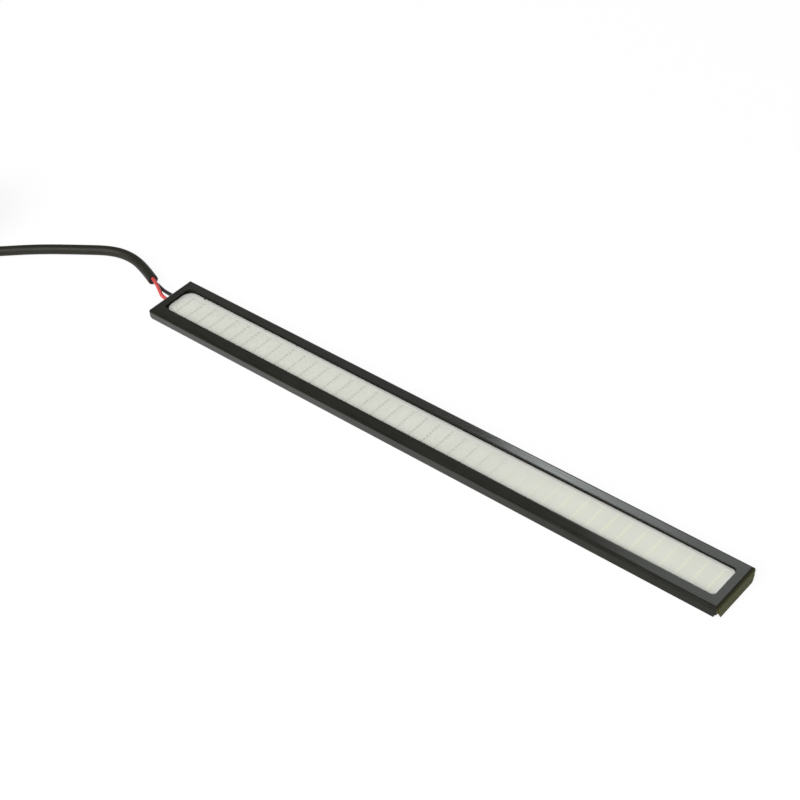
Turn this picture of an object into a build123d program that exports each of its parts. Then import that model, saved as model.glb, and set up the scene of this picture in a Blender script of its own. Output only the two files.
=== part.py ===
from build123d import *
import os
from math import cos, degrees, floor, pi, radians, sin, tan

# Slim daytime running light: a folded aluminium bezel over a strip of LED dies under silicone,
# with foam tape on its back and a two-core cable that ends in bare wires.
# Millimetres. X runs from the wire end to the plain end, Z comes out of the lit face, and the
# origin lies under the middle of the lamp, on the surface that it rests on.

# Folded bezel
bezel_length = 170.0
bezel_width = 15.0
sheet = 0.6                  # thickness of the aluminium
inside_bend = 0.15           # radius inside each fold
side_rim = 2.9               # from a long edge to the window
end_rim = 2.6                # from an end to the window
window_radius = 1.0          # corners of the window
flap_lean = 0.5              # the plain end's flap leans out by this at its foot
seam = 0.12                  # slit between a long wall and an end flap
foot_radius = 0.6            # rounded feet where a seam ends
open_foot_radius = 1.4       # the plain end's far corner, whose feet are cut well back
relief_foot_radius = 0.25    # the plain end's near corner
relief_height = 1.2          # that corner is open up to this height

# Layers, from the resting surface up
liner_thickness = 0.15
tape_thickness = 0.65
board_thickness = 0.8
board_to_rim = 1.0           # space under the rim
tape_proud = 0.2             # liner and tape reach this far below the walls

# Outlines of the layers
board_clearance = 0.3        # board to the walls around it
board_radius = 0.5
lead_room = 0.5              # board to the wire-end flap
tape_inset = 0.8             # board edge to tape edge
tape_radius = 1.0
liner_tab = 0.5              # the liner is longer than the tape by this at each end

# Silicone, dies and resistors
cover_margin = 0.2           # silicone reaches this far under the rim
row_pitch = 3.9
row_end_margin = 2.4         # window end to the middle of the first row
die_pitch = 1.1
die_side_margin = 1.2        # window side to the middle of the first die
die_length = 0.3             # along the lamp
die_width = 0.4
die_height = 0.2
rows_per_resistor = 3
resistor_length = 1.6
resistor_width = 0.8
resistor_height = 0.45

# Sealant
lip_thickness = 0.1          # sealant between silicone and rim
lip_show = 0.1               # sealant that shows inside the window
seal_width = 0.5             # sealant bead beside the silicone
potting_radius = 2.6         # round corners that the potting leaves at the wire end
pinhole_radius = 0.18        # gap in the potting at one corner of the window
squeeze_out = [(5.8, 0.42), (27.1, 0.22), (38.0, 0.22)]  # from the window's wire end, and radius

# Leads and solder
lead_diameter = 0.95
conductor_diameter = 0.5
lead_spread = 2.0            # between the leads where they enter the lamp
hole_clearance = 0.08        # flap around a lead
solder_gap = 0.02            # conductor above the board
strip_gap = 0.1              # insulation stops this far short of the board
joint_radius = 0.52
joint_top_radius = 0.25
joint_height = 0.62
joint_inset = 0.62           # board end to the middle of a solder joint
conductor_past_joint = 0.2

# Cable
cable_diameter = 2.7
core_spread = 1.04           # between the two cores at an end of the sheath
turn_gap = 0.05              # between neighbouring turns of the coil
coil_turn_radius = 9.9       # middle of the turns
coil_columns = 3
coil_layers = 5
coil_corner = 2.0            # corners of the coil's section are cut off by this much
coil_entry_run = 9.6         # straight stretch on which the cable joins the coil
coil_exit_layer = 3          # the cable leaves from this layer, counted from the floor
coil_exit_angle = 265.0      # where it leaves
coil_exit_run = 11.0         # level length of the stretch that comes down to the floor
exit_end_lift = 0.1          # the sheath's end above its height when it lies flat
tie_angle = 110.0
tie_width = 2.5
tie_thickness = 0.8
tie_head = (3.2, 4.2, 3.4)   # along the radius, along the coil, up
tie_head_height = 5.5
strand_diameter = 0.6
strand_length = 5.0
arc_share = 0.45             # share of the shorter run that an arc of a cord takes

# Routes of the cords, from the middle of the wire end, in x and y or in x, y and z
sheath_route = [
    (-9.8, 3.1), (-15.6, 5.4), (-22.0, 6.75), (-28.3, 5.7),
    (-35.5, 1.1), (-45.5, -5.6), (-55.0, -13.8), (-60.6, -18.0),
]
red_lead_bends = [(-4.3, 0.3, 2.25)]
black_lead_bends = [(-4.6, 1.5, 1.5)]
lead_first_run = 2.3         # leads run straight out of the sheath for this length
lead_last_run = 2.0          # and straight into the lamp from this far out
red_tail_route = [(-93.6, -21.0), (-94.6, -9.5), (-89.2, 2.6)]
black_tail_route = [(-91.6, -19.6), (-92.6, -9.6), (-84.2, 2.8)]

# Heights and outlines that follow
cut_margin = 1.0             # cutters overrun the piece that they cut by this
tangent_tolerance = 0.0001   # faces that touch on a tangent are joined within this
tape_bottom = liner_thickness
board_bottom = tape_bottom + tape_thickness
board_top = board_bottom + board_thickness
rim_under = board_top + board_to_rim
face_top = rim_under + sheet
wall_bottom = tape_proud
silicone_top = rim_under - lip_thickness
outside_bend = inside_bend + sheet

half_length = bezel_length / 2
half_width = bezel_width / 2
inner_length = half_length - sheet
inner_width = half_width - sheet
window_end = half_length - end_rim
window_side = half_width - side_rim
cover_end = window_end + cover_margin
cover_side = window_side + cover_margin
seal_end = cover_end + seal_width
seal_side = cover_side + seal_width
potting_end = -window_end + lip_show + potting_radius
board_wire_end = -inner_length + lead_room
board_plain_end = inner_length - board_clearance
board_side = inner_width - board_clearance

rows = floor((2 * window_end - 2 * row_end_margin) / row_pitch) + 1
dies_per_row = floor((2 * window_side - 2 * die_side_margin) / die_pitch) + 1
lead_height = board_top + solder_gap + conductor_diameter / 2
lead_end = board_wire_end - strip_gap
joint_x = board_wire_end + joint_inset

turn_pitch = cable_diameter + turn_gap
coil_width = (coil_columns - 1) * turn_pitch + cable_diameter
coil_height = (coil_layers - 1) * turn_pitch + cable_diameter
outer_turn_radius = coil_turn_radius + (coil_columns - 1) / 2 * turn_pitch
exit_turn_height = cable_diameter / 2 + (coil_exit_layer - 1) * turn_pitch
standing = (Align.CENTER, Align.CENTER, Align.MIN)


def block(x, y, z):
    """A box between two values along each axis."""
    middle = Pos((x[0] + x[1]) / 2, (y[0] + y[1]) / 2, (z[0] + z[1]) / 2)
    return middle * Box(x[1] - x[0], y[1] - y[0], z[1] - z[0])


def leaning_block(x, y, z, lean):
    """A box whose end at the greater x leans out towards its foot, by this much in all."""
    outline = Polyline((x[0], z[0]), (x[0], z[1]), (x[1], z[1]), (x[1] + lean, z[0]), close=True)
    side = Pos(0, (y[0] + y[1]) / 2, 0) * Plane.XZ * make_face(outline)
    return extrude(side, amount=(y[1] - y[0]) / 2, both=True)


def plate(x, y, z, radius):
    """A flat plate between two values along each axis, with rounded corners."""
    outline = RectangleRounded(x[1] - x[0], y[1] - y[0], radius)
    return extrude(Pos((x[0] + x[1]) / 2, (y[0] + y[1]) / 2, z[0]) * outline, z[1] - z[0])


def foot_cutter(corner, inwards, radius, thickness):
    """What rounding takes off the lower corner of an upright sheet.

    The corner is a point in the middle of the sheet, beside a seam, and inwards points along the sheet.
    """
    face = Plane(corner, x_dir=inwards, z_dir=Vector(inwards).cross(Vector(0, 0, 1)))
    spare = Pos(-seam / 2, -cut_margin) * Rectangle(
        radius + seam / 2, radius + cut_margin, align=(Align.MIN, Align.MIN))
    kept = Pos(radius, radius) * Circle(radius)
    return extrude(face * (spare - kept), amount=thickness / 2, both=True)


def make_bezel():
    """Sheet folded down on four sides, with a window, corner seams, rounded feet and lead holes."""
    upright = (wall_bottom, face_top)
    slope = flap_lean / (face_top - wall_bottom)
    outside = leaning_block((-half_length, half_length), (-half_width, half_width), upright, flap_lean)
    outside = fillet(outside.edges().group_by(Axis.Z)[-1], outside_bend)
    hollow_floor = wall_bottom - cut_margin
    hollow = leaning_block((-inner_length, inner_length + slope * sheet), (-inner_width, inner_width),
                           (hollow_floor, rim_under), slope * (rim_under - hollow_floor))
    hollow = fillet(hollow.edges().group_by(Axis.Z)[-1], inside_bend)
    window = plate((-window_end, window_end), (-window_side, window_side),
                   (rim_under - cut_margin, face_top + cut_margin), window_radius)
    past_walls = (half_length, half_length + flap_lean + cut_margin)
    below_bend = (wall_bottom - cut_margin, face_top - outside_bend)
    relief = block((inner_length, half_length + cut_margin), (-half_width - cut_margin, -inner_width),
                   (wall_bottom - cut_margin, wall_bottom + relief_height))
    cutters = [hollow, window, relief,
               block(past_walls, (inner_width, half_width + cut_margin), below_bend),
               block(past_walls, (-half_width - cut_margin, -inner_width), below_bend)]
    flap_middle = half_length - sheet / 2
    wall_middle = half_width - sheet / 2
    own_feet = {(1, 1): open_foot_radius, (1, -1): relief_foot_radius}
    for end in (-1, 1):
        for side in (-1, 1):
            slit = block((-sheet / 2 - cut_margin, sheet / 2 + cut_margin), (-seam / 2, seam / 2),
                         below_bend)
            cutters.append(Pos(end * flap_middle, side * (inner_width - seam / 2), 0) * slit)
            radius = own_feet.get((end, side), foot_radius)
            cutters.append(foot_cutter((end * flap_middle, side * (inner_width - seam), wall_bottom),
                                       (0, -side, 0), radius, sheet + 2 * cut_margin))
            cutters.append(foot_cutter((end * half_length, side * wall_middle, wall_bottom),
                                       (-end, 0, 0), radius, sheet + seam))
    for side in (-1, 1):
        hole = Rot(0, 90, 0) * Cylinder(lead_diameter / 2 + hole_clearance, sheet + 2 * cut_margin)
        cutters.append(Pos(-flap_middle, side * lead_spread / 2, lead_height) * hole)
    return outside - cutters


def make_board():
    """Aluminium-core board under the rims, short of the wire-end flap."""
    return plate((board_wire_end, board_plain_end), (-board_side, board_side),
                 (board_bottom, board_top), board_radius)


def make_dies():
    """Rows of LED dies on the board."""
    places = GridLocations(row_pitch, die_pitch, rows, dies_per_row)
    return [Pos(0, 0, board_top) * place * Box(die_length, die_width, die_height, align=standing)
            for place in places]


def make_encapsulant():
    """Silicone that reaches a little under the rim all round, with a slot for each row of dies."""
    layer = block((-cover_end, cover_end), (-cover_side, cover_side), (board_top, silicone_top))
    row_width = (dies_per_row - 1) * die_pitch + die_width
    slot = Box(die_length, row_width, die_height, align=standing)
    return layer - [Pos(0, 0, board_top) * place * slot for place in GridLocations(row_pitch, 1, rows, 1)]


def make_resistors():
    """Chip resistors under one long rim, one for each few rows of dies."""
    places = GridLocations(row_pitch * rows_per_resistor, 1, rows // rows_per_resistor, 1)
    across = (seal_side + board_side) / 2
    return [Pos(0, across, board_top) * place
            * Box(resistor_length, resistor_width, resistor_height, align=standing) for place in places]


def make_conductors():
    """Stripped ends of the two leads, which lie on the board."""
    length = joint_x + conductor_past_joint - lead_end
    core = Rot(0, 90, 0) * Cylinder(conductor_diameter / 2, length, align=standing)
    return [Pos(lead_end, side * lead_spread / 2, lead_height) * core for side in (-1, 1)]


def make_joints(conductors):
    """A mound of solder over each stripped end."""
    mound = Cone(joint_radius, joint_top_radius, joint_height, align=standing)
    return [Pos(joint_x, side * lead_spread / 2, board_top) * mound - core
            for side, core in zip((-1, 1), conductors)]


def make_potting(neighbours):
    """Black potting between flap and silicone, with a lip that rounds the window's corners."""
    fill = block((-inner_length, -cover_end), (-seal_side, seal_side), (board_bottom, rim_under))
    lip = block((-cover_end, potting_end), (-cover_side, cover_side), (silicone_top, rim_under))
    shown = plate((-window_end + lip_show, potting_end + 2 * potting_radius),
                  (-window_side + lip_show, window_side - lip_show),
                  (silicone_top - cut_margin, rim_under + cut_margin), potting_radius)
    pinhole = Pos(-window_end + pinhole_radius, window_side - pinhole_radius, silicone_top) * Cylinder(
        pinhole_radius, cut_margin)
    return fill + lip - shown - pinhole - neighbours


def make_edge_seal(encapsulant, bezel):
    """Sealant bead along the other three sides, with a lip on the silicone and a few bumps."""
    bead = block((-cover_end, seal_end), (-seal_side, seal_side), (board_top, rim_under))
    heights = (silicone_top - cut_margin, rim_under + cut_margin)
    shown = plate((-window_end, window_end - lip_show), (-window_side + lip_show, window_side - lip_show),
                  heights, window_radius)
    potted = block((-cover_end - cut_margin, potting_end), (-cover_side, cover_side), heights)
    seal = bead - shown - potted
    for along, radius in squeeze_out:
        seal += Pos(-window_end + along, window_side - lip_show, silicone_top) * Sphere(radius)
    return seal - encapsulant - bezel


def make_tape():
    """Foam tape on the back of the board."""
    return plate((board_wire_end + tape_inset, board_plain_end - tape_inset),
                 (-board_side + tape_inset, board_side - tape_inset),
                 (tape_bottom, board_bottom), tape_radius)


def make_liner():
    """Release liner under the tape, with a short tab at each end."""
    overhang = tape_inset - liner_tab
    return plate((board_wire_end + overhang, board_plain_end - overhang),
                 (-board_side + tape_inset, board_side - tape_inset), (0, tape_bottom), tape_radius)


def from_wire_end(point, height):
    """A route's point in the lamp's frame, at its own height or at the one given."""
    own_height = point[2] if len(point) > 2 else height
    return Vector(point[0] - half_length, point[1], own_height)


def rod(name, points, diameter):
    """A round rod along straight runs joined by tangent arcs, each as large as its runs allow."""
    radii = []
    for before, corner, after in zip(points, points[1:], points[2:]):
        turn = (corner - before).get_angle(after - corner)
        shorter = min((corner - before).length, (after - corner).length)
        radii.append(arc_share * shorter / tan(radians(turn) / 2))
    path = FilletPolyline(*points, radius=radii)
    section = Plane(points[0], z_dir=points[1] - points[0]) * Circle(diameter / 2)
    solid = sweep(section, path=path)
    expected = pi * diameter ** 2 / 4 * path.length
    print(name, "length", round(path.length, 2), "radii", [round(radius, 1) for radius in radii],
          "volume over section times length", round(solid.volume / expected, 4))
    return solid


def straight_rod(start, end, diameter):
    """A round rod between two points."""
    return extrude(Plane(start, z_dir=end - start) * Circle(diameter / 2), (end - start).length)


def make_lead(name, side, sheath_end, bends, above):
    """A lead from the sheath's end through its hole in the flap."""
    outwards = (sheath_end[0] - sheath_end[1]).normalized()
    start = sheath_end[0] + Vector(0, 0, above * core_spread / 2)
    entry = Vector(-half_length - lead_last_run, side * lead_spread / 2, lead_height)
    stop = Vector(lead_end, side * lead_spread / 2, lead_height)
    middle = [from_wire_end(point, lead_height) for point in bends]
    return rod(name, [start, start + outwards * lead_first_run, *middle, entry, stop], lead_diameter)


def coil_middle(route):
    """Middle of the coil that the cable joins on a tangent, clockwise, and that tangent's end."""
    heading = (route[-1] - route[-2]).normalized()
    touch = route[-1] + heading * coil_entry_run
    return touch + heading.rotate(Axis.Z, -90) * outer_turn_radius, touch


def coil_exit(middle):
    """Start and end of the stretch that comes down from the coil's outer side to the floor."""
    angle = radians(coil_exit_angle)
    level = Vector(middle.X, middle.Y, 0)
    start = level + Vector(cos(angle), sin(angle)) * outer_turn_radius + Vector(0, 0, exit_turn_height)
    drop = Vector(0, 0, cable_diameter / 2 + exit_end_lift - exit_turn_height)
    end = start + Vector(sin(angle), -cos(angle)) * coil_exit_run + drop
    return start, end


def bundle_outline(height):
    """Outline of the turns' section: as wide as the coil, as high as given, with its corners cut off."""
    return chamfer(Rectangle(coil_width, height).vertices(), coil_corner)


def make_tie(middle):
    """A strap round the coil's section with its head inside the coil."""
    inner = bundle_outline(coil_height - tie_thickness)
    outer = offset(inner, tie_thickness, kind=Kind.INTERSECTION)
    section = Plane.XZ * (Pos(coil_turn_radius, (coil_height + tie_thickness) / 2) * (outer - inner))
    arc = degrees(tie_width / coil_turn_radius)
    strap = Rot(0, 0, tie_angle - arc / 2) * revolve(section, Axis.Z, revolution_arc=arc)
    head_radius = coil_turn_radius - coil_width / 2 - tie_thickness / 2
    head = Pos(head_radius, 0, tie_head_height) * Box(
        *tie_head, align=(Align.MAX, Align.CENTER, Align.MIN))
    return Pos(middle.X, middle.Y, 0) * (strap + Rot(0, 0, tie_angle) * head)


def make_coil(route, middle, touch, tie):
    """The wound length as one solid, with the straight stretches on which the cable joins and leaves."""
    section = Plane.XZ * (Pos(coil_turn_radius, coil_height / 2) * bundle_outline(coil_height))
    turns = Pos(middle.X, middle.Y, 0) * revolve(section, Axis.Z)
    joining = straight_rod(route[-1], touch, cable_diameter)
    leaving = straight_rod(*coil_exit(middle), cable_diameter)
    return turns.fuse(joining, leaving, tol=tangent_tolerance) - tie


def make_tail(name, side, middle, route):
    """An insulated wire from the sheath's far end along the floor, and its bare strands."""
    start, end = coil_exit(middle)
    heading = (end - start).normalized()
    across = Vector(-heading.Y, heading.X, 0).normalized() * (side * core_spread / 2)
    floor_height = lead_diameter / 2
    first_run = (end.Z - floor_height) / -heading.Z
    points = [end + across, end + across + heading * first_run]
    points += [from_wire_end(point, floor_height) for point in route]
    wire = rod(name, points, lead_diameter)
    onward = (points[-1] - points[-2]).normalized()
    return wire, straight_rod(points[-1], points[-1] + onward * strand_length, strand_diameter)


bezel = make_bezel()
board = make_board()
dies = make_dies()
encapsulant = make_encapsulant()
conductors = make_conductors()
joints = make_joints(conductors)

sheath_points = [from_wire_end(point, cable_diameter / 2) for point in sheath_route]
red_lead = make_lead("red_lead", -1, sheath_points, red_lead_bends, 1)
black_lead = make_lead("black_lead", 1, sheath_points, black_lead_bends, -1)
potting = make_potting([bezel, board, encapsulant, red_lead, black_lead, *conductors, *joints])

middle, touch = coil_middle(sheath_points)
tie = make_tie(middle)
red_tail, red_tip = make_tail("red_tail", 1, middle, red_tail_route)
black_tail, black_tip = make_tail("black_tail", -1, middle, black_tail_route)

nodes = {
    "bezel": [bezel],
    "circuit_board": [board],
    "led_dies": dies,
    "encapsulant": [encapsulant],
    "chip_resistors": make_resistors(),
    "lead_conductors": conductors,
    "solder_joints": joints,
    "wire_potting": [potting],
    "edge_seal": [make_edge_seal(encapsulant, bezel)],
    "mounting_tape": [make_tape()],
    "tape_liner": [make_liner()],
    "red_lead": [red_lead],
    "black_lead": [black_lead],
    "cable_sheath": [rod("cable_sheath", sheath_points, cable_diameter)],
    "cable_coil": [make_coil(sheath_points, middle, touch, tie)],
    "cable_tie": [tie],
    "red_tail": [red_tail],
    "black_tail": [black_tail],
    "red_tail_tip": [red_tip],
    "black_tail_tip": [black_tip],
}

os.makedirs("parts", exist_ok=True)
for name, solids in nodes.items():
    group = Compound(children=[solid for piece in solids for solid in piece.solids()])
    export_step(group, f"parts/{name}.step")
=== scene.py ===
"""Looks of a slim daytime running light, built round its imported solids.

The lamp lies on its taped back. The folded bezel, the silicone over the LED dies, the leads, the cable with
its coil and tie, and the wire ends are surfaces worked out here. The other nodes keep their solid shape and
get a finish. Lengths are in metres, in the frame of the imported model: X runs from the wire end to the plain
end, and Z comes out of the lit face.
"""

import logging
from collections.abc import Sequence
from dataclasses import dataclass, field
from enum import Enum
from math import cos, pi, radians, sin

import bmesh
import bpy
import numpy as np
from mathutils import Matrix, Vector


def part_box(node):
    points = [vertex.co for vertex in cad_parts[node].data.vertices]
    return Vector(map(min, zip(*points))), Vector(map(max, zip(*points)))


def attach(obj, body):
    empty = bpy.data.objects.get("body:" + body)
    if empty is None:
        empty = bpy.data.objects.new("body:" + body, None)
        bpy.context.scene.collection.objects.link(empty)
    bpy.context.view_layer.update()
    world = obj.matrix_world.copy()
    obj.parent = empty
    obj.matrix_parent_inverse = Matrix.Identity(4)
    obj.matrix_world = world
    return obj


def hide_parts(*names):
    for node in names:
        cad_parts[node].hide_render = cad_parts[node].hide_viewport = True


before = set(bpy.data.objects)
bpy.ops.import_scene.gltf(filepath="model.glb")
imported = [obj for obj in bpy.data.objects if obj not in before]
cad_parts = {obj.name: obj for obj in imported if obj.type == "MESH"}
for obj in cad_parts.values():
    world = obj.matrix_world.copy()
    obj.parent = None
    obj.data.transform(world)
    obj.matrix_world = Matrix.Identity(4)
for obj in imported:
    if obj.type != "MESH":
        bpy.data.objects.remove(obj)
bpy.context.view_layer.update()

BODY = "root"
MM = 0.001
ROW_PITCH = 3.9 * MM
DIE_PITCH = 1.1 * MM
CREASE = radians(35.0)
LOG = logging.getLogger("lamp")

Array = np.ndarray
Pair = tuple[float, float]
Triple = tuple[float, float, float]
Box = tuple[Vector, Vector]
Piece = bpy.types.Object
Socket = bpy.types.NodeSocket

WHOLE: Pair = (0.0, 1.0)
WHITE = (1.0, 1.0, 1.0, 1.0)


class Core(Enum):
    """The two cores of the cable, each by the word for its colour."""

    RED = "red"
    BLACK = "black"


class Grain(Enum):
    """How a finish's fine texture lies, as the number of its features per metre along each axis."""

    BRUSHED = (90.0, 3200.0, 3200.0)
    FINE = (4200.0, 4200.0, 4200.0)
    COARSE = (700.0, 700.0, 700.0)
    CLOUDY = (160.0, 160.0, 160.0)


class Nodes:
    """The nodes of a material or of the world, with a short call for each kind that several places share."""

    def __init__(self, tree: bpy.types.NodeTree) -> None:
        """Keeps the tree that new nodes go into."""
        self.tree = tree

    def node(self, kind: str, *sources: Socket | float | tuple[float, ...]) -> bpy.types.Node:
        """Adds a node and fills its first inputs.

        Args:
            kind: The node's type name.
            sources: The inputs in their order, each a socket to link or a value.

        Returns:
            The new node.
        """
        made = self.tree.nodes.new(kind)
        for socket, source in zip(made.inputs, sources):
            if isinstance(source, Socket):
                self.tree.links.new(source, socket)
            else:
                socket.default_value = source
        return made

    def remap(self, value: Socket, start: Pair, end: Pair) -> Socket:
        """Carries a value linearly from one range to another, held at its ends."""
        return self.node("ShaderNodeMapRange", value, *start, *end).outputs[0]

    def math(self, operation: str, first: Socket, second: Socket | float) -> Socket:
        """Works out one value from two.

        Args:
            operation: What is done with them, as the Math node names it.
            first: The first value.
            second: The second value.

        Returns:
            The result.
        """
        made = self.node("ShaderNodeMath", first, second)
        made.operation = operation
        return made.outputs[0]


class Shader(Nodes):
    """A material's nodes, round one Principled shader."""

    def __init__(self, name: str) -> None:
        """Makes the material.

        Args:
            name: The material's name.
        """
        self.material = bpy.data.materials.new(name)
        self.material.use_nodes = True
        super().__init__(self.material.node_tree)
        self.surface = self.tree.nodes["Principled BSDF"]
        self.place = self.node("ShaderNodeTexCoord").outputs["Object"]

    def set(self, **values: float) -> None:
        """Sets sockets of the Principled shader.

        Args:
            values: The sockets' values by their names, in lower case with underscores.
        """
        for socket in self.surface.inputs:
            name = socket.name.lower().replace(" ", "_")
            if name in values:
                socket.default_value = values[name]

    def link(self, source: Socket, name: str) -> None:
        """Joins a node's output to a socket of the Principled shader."""
        self.tree.links.new(source, self.surface.inputs[name])

    def axis(self, index: int) -> Socket:
        """The place on the piece along X, Y or Z, which are 0, 1 and 2."""
        return self.node("ShaderNodeSeparateXYZ", self.place).outputs[index]

    def attribute(self, name: str) -> Socket:
        """Reads a value that each point of the piece has.

        Args:
            name: The attribute's name.

        Returns:
            Its value.
        """
        made = self.node("ShaderNodeAttribute")
        made.attribute_name = name
        return made.outputs["Fac"]

    def noise(self, scale: Triple, detail: float = 3.0, shift: Triple = (0.0, 0.0, 0.0)) -> Socket:
        """Noise from 0 to 1 over the piece.

        Args:
            scale: Features per metre along each axis.
            detail: How many finer octaves are added.
            shift: Where the pattern starts, so that two uses differ.

        Returns:
            The noise's value.
        """
        unturned = (0.0, 0.0, 0.0)
        mapping = self.node("ShaderNodeMapping", self.place, shift, unturned, scale)
        return self.node("ShaderNodeTexNoise", mapping.outputs[0], 0.0, 1.0, detail).outputs[0]

    def near_row(self, full: float, none: float) -> Socket:
        """Finds the rows of dies.

        The distance to the middle between two rows is a ping-pong of X, because the number of rows is even.

        Args:
            full: How far from a row the result is still one.
            none: How far from a row it has fallen to nought.

        Returns:
            One on a row, and nought away from it.
        """
        half = ROW_PITCH / 2
        from_middle = self.math("PINGPONG", self.axis(0), half)
        return self.remap(from_middle, (half - none, half - full), WHOLE)

    def blend(self, share: Socket, first: Socket | Triple, second: Triple) -> Socket:
        """Mixes two colours.

        Args:
            share: How much of the second colour shows, from 0 to 1.
            first: A colour, or the output of an earlier mix.
            second: A colour.

        Returns:
            The mixed colour.
        """
        mix = self.tree.nodes.new("ShaderNodeMix")
        mix.data_type = "RGBA"
        self.tree.links.new(share, mix.inputs["Factor"])
        if isinstance(first, tuple):
            mix.inputs[6].default_value = (*first, 1.0)
        else:
            self.tree.links.new(first, mix.inputs[6])
        mix.inputs[7].default_value = (*second, 1.0)
        return mix.outputs[2]

    def bump(self, height: Socket, depth: float) -> None:
        """Adds fine relief.

        Args:
            height: A value from 0 to 1.
            depth: The height of one, in metres.
        """
        node = self.tree.nodes.new("ShaderNodeBump")
        node.inputs["Strength"].default_value = 1.0
        node.inputs["Distance"].default_value = depth
        self.tree.links.new(height, node.inputs["Height"])
        self.link(node.outputs[0], "Normal")


@dataclass(frozen=True)
class Finish:
    """A surface finish: two close colours that drift into each other, gloss that varies, and fine relief."""

    name: str
    colour: Triple
    drift: Triple
    roughness: Pair
    grain: Grain = Grain.FINE
    relief: float = 0.0
    metallic: float = 0.0
    specular: float = 0.5
    alpha: float = 1.0
    cloud_span: Pair = (0.35, 0.65)
    gloss_span: Pair = (0.3, 0.7)
    gloss_shift: Triple = (0.3, 0.7, 0.1)
    relief_shift: Triple = (0.9, 0.2, 0.5)

    def material(self) -> bpy.types.Material:
        """Makes the finish's material, once.

        Returns:
            The material.
        """
        made = bpy.data.materials.get(self.name)
        if made is None:
            shader = Shader(self.name)
            shader.set(metallic=self.metallic, specular_ior_level=self.specular, alpha=self.alpha)
            self.paint(shader)
            made = shader.material
        return made

    def paint(self, shader: Shader) -> None:
        """Links colour, gloss and relief to the shader.

        Args:
            shader: The material's nodes.
        """
        shader.link(self.base_colour(shader), "Base Color")
        gloss = shader.noise(self.grain.value, shift=self.gloss_shift)
        shader.link(shader.remap(gloss, self.gloss_span, self.roughness), "Roughness")
        if self.relief:
            shader.bump(shader.noise(self.grain.value, shift=self.relief_shift), self.relief)

    def base_colour(self, shader: Shader) -> Socket:
        """The colour, which drifts with a cloudy noise."""
        cloud = shader.noise(Grain.CLOUDY.value, detail=4.0)
        return shader.blend(shader.remap(cloud, self.cloud_span, WHOLE), self.colour, self.drift)


@dataclass(frozen=True)
class SheetFinish(Finish):
    """Black anodised sheet: streaks along the length, paler worn edges, uneven sheen and a pale olive tone on
    the plain flap's wall.
    """

    streak: Triple = (0.022, 0.023, 0.020)
    worn: Triple = (0.075, 0.076, 0.072)
    olive_tone: Triple = (0.095, 0.094, 0.038)
    sheen: Pair = (0.0, 0.6)
    streak_span: Pair = (0.45, 0.75)
    patch_span: Pair = (0.35, 0.7)
    patch_wear: Pair = (0.1, 0.8)
    patch_shift: Triple = (0.4, 0.4, 0.8)

    def base_colour(self, shader: Shader) -> Socket:
        """The drifting black with streaks, then the worn edges, then the pale olive tone on the plain flap's
        wall.

        Args:
            shader: The material's nodes, whose specular level follows the sheen.

        Returns:
            The colour.
        """
        shader.link(shader.remap(shader.attribute("sheen"), WHOLE, self.sheen), "Specular IOR Level")
        streaks = shader.remap(shader.noise(self.grain.value, detail=5.0), self.streak_span, WHOLE)
        colour = shader.blend(streaks, super().base_colour(shader), self.streak)
        patches = shader.noise(Grain.COARSE.value, shift=self.patch_shift)
        patchy = shader.remap(patches, self.patch_span, self.patch_wear)
        colour = shader.blend(shader.math("MULTIPLY", shader.attribute("wear"), patchy), colour, self.worn)
        # A pale olive tone on the plain flap's wall
        return shader.blend(shader.attribute("olive_tone"), colour, self.olive_tone)


@dataclass(frozen=True)
class BoardFinish(Finish):
    """White solder mask with a faint track under each row of dies."""

    track: Triple = (0.76, 0.75, 0.68)
    track_width: float = 0.5 * MM

    def base_colour(self, shader: Shader) -> Socket:
        """The mask's drifting white, then the tracks, whose edges are soft."""
        on_track = shader.near_row(self.track_width / 4, self.track_width / 2)
        return shader.blend(on_track, super().base_colour(shader), self.track)


@dataclass(frozen=True)
class RowFinish(Finish):
    """A die's or bond wire's finish under phosphor, with painted glare that makes it paler towards the plain
    end.
    """

    # Colour of the painted glare, and where along X it starts and where it is full
    glare: Triple = (1.0, 1.0, 0.70)
    glare_reach: Pair = (5.0 * MM, 42.0 * MM)

    def base_colour(self, shader: Shader) -> Socket:
        """The finish's own colour, with more and more painted glare along X."""
        # Painted glare: the colour pales along X, towards the plain end
        glare_share = shader.remap(shader.axis(0), self.glare_reach, WHOLE)
        return shader.blend(glare_share, super().base_colour(shader), self.glare)


@dataclass(frozen=True)
class CoverFinish(Finish):
    """Milky silicone, with painted light along its brim against the shade of the rim, and painted glints over
    the dies of the plain half.
    """

    # Colour of the painted light along the brim, against the shade of the rim
    brim_light: Triple = (1.0, 1.0, 0.96)
    # Painted glints over the dies: their colour, half size along and across, soft edge and reach along X
    die_glint: Triple = (1.0, 1.0, 0.83)
    glint_half: Pair = (0.30 * MM, 0.35 * MM)
    glint_edge: float = 0.1 * MM
    glints_reach: Pair = (20.0 * MM, 45.0 * MM)

    def base_colour(self, shader: Shader) -> Socket:
        """The drifting milky colour, then the painted glints over the dies, then the painted light along the
        brim.
        """
        colour = shader.blend(self.die_glints(shader), super().base_colour(shader), self.die_glint)
        return shader.blend(shader.attribute("brim_light"), colour, self.brim_light)

    def die_glints(self, shader: Shader) -> Socket:
        """Finds the places of the painted glints over the dies, fading in along X.

        The distance to the nearest die of a row is a ping-pong of Y, because the number of dies is odd.

        Args:
            shader: The material's nodes.

        Returns:
            One over a die, and nought elsewhere.
        """
        along, across = self.glint_half
        on_row = shader.near_row(along, along + self.glint_edge)
        from_die = shader.math("PINGPONG", shader.axis(1), DIE_PITCH / 2)
        on_die = shader.remap(from_die, (across, across + self.glint_edge), (1.0, 0.0))
        fade = shader.remap(shader.axis(0), self.glints_reach, WHOLE)
        return shader.math("MULTIPLY", shader.math("MULTIPLY", on_row, on_die), fade)


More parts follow.
